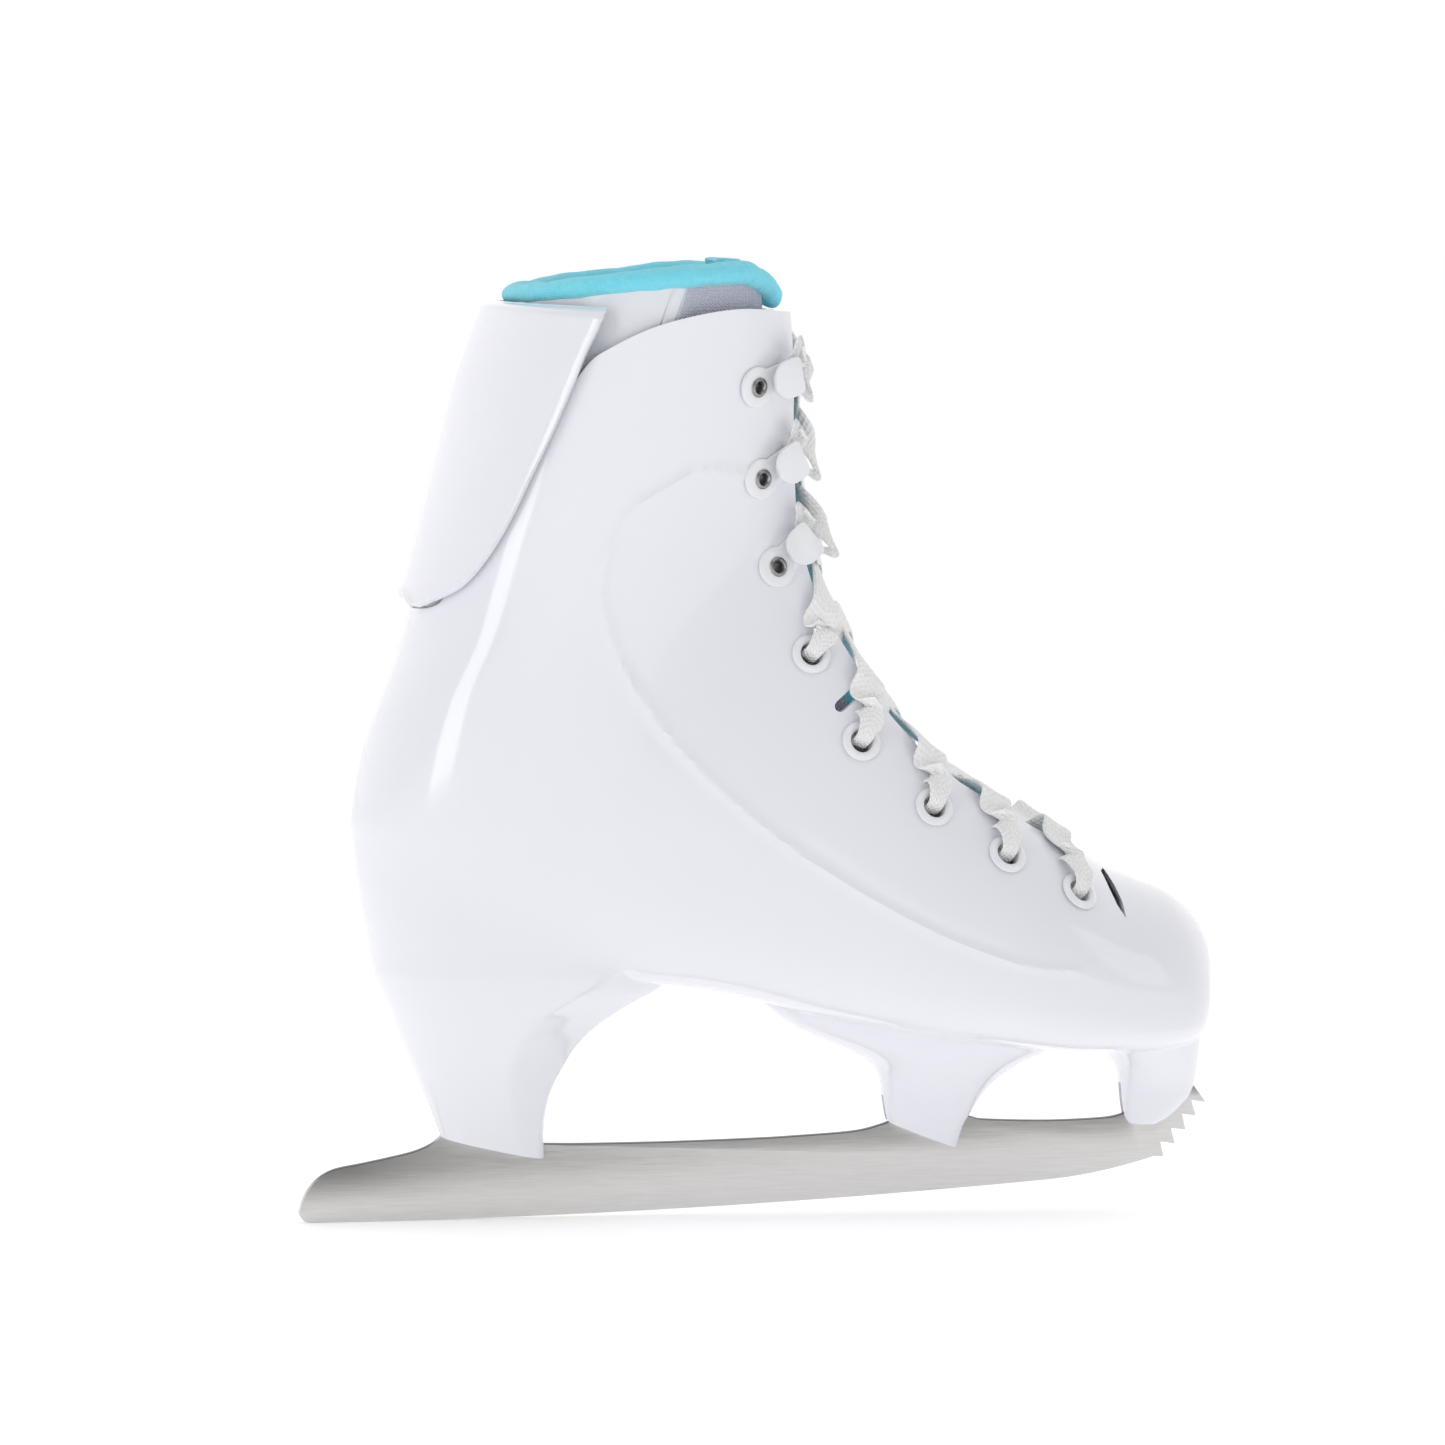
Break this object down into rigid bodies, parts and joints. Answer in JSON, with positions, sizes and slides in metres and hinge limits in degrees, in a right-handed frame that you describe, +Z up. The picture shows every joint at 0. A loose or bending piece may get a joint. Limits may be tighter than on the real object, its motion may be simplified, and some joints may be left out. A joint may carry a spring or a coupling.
{
  "type": "figure skate",
  "caption": "Lace-up figure skate: one-piece moulded boot with blade posts, rear cuff, soft liner, hooks and eyelets, and a toe-pick blade.",
  "frame": {"origin": "on the ground under the tail's running edge plane, midway between the blade's tail and the toe", "axes": "+X towards the toe, +Z up, +Y to the inner side of the foot"},
  "size_m": [0.2872, 0.0992, 0.3049],
  "materials": {
    "shell": "high gloss white moulding",
    "blade_steel": "brushed along its length",
    "board": "matt grey board",
    "footbed": "blue plush",
    "liner_mesh": "pale lavender knitted mesh",
    "liner_patent": "gloss white coated fabric",
    "tongue": "blue plush over foam",
    "collar": "sky-blue plush roll",
    "lace": "flat white weave",
    "fixing_steel": "plain steel",
    "eyelet": "white enamel",
    "hook": "white enamel",
    "rivet": "dark steel"
  },
  "bodies": {
    "boot": {"boot_shell": "shell", "blade": "blade_steel", "insole_board": "board", "footbed": "footbed", "liner": "liner_mesh", "tongue": "tongue", "collar_left": "collar", "collar_right": "collar", "lace": "lace", "blade_screw_heel": "fixing_steel", "tang_nut_heel": "fixing_steel", "blade_screw_ball": "fixing_steel", "tang_nut_ball": "fixing_steel", "blade_screw_toe": "fixing_steel", "tang_nut_toe": "fixing_steel", "eyelet_left_1": "eyelet", "eyelet_left_2": "eyelet", "eyelet_left_3": "eyelet", "eyelet_left_4": "eyelet", "eyelet_left_5": "eyelet", "hook_left_1": "hook", "hook_rivet_left_1": "rivet", "hook_left_2": "hook", "hook_rivet_left_2": "rivet", "hook_left_3": "hook", "hook_rivet_left_3": "rivet", "eyelet_right_1": "eyelet", "eyelet_right_2": "eyelet", "eyelet_right_3": "eyelet", "eyelet_right_4": "eyelet", "eyelet_right_5": "eyelet", "hook_right_1": "hook", "hook_rivet_right_1": "rivet", "hook_right_2": "hook", "hook_rivet_right_2": "rivet", "hook_right_3": "hook", "hook_rivet_right_3": "rivet"},
    "cuff": {"rear_cuff": "shell", "liner_back": "liner_patent", "collar_back": "collar"},
    "tongue_flap": {"tongue_top": "tongue"}
  },
  "joints": [
    {"name": "cuff_flex", "type": "hinge", "parent": "boot", "child": "cuff", "pos_m": [-0.099, 0, 0.197], "axis": [0, -1, 0], "range_deg": [0, 9], "stiffness_Nm_per_rad": 8},
    {"name": "tongue_flex", "type": "hinge", "parent": "boot", "child": "tongue_flap", "pos_m": [0.003, 0, 0.284], "axis": [0, 1, 0], "range_deg": [0, 20], "stiffness_Nm_per_rad": 0.5}
  ]
}
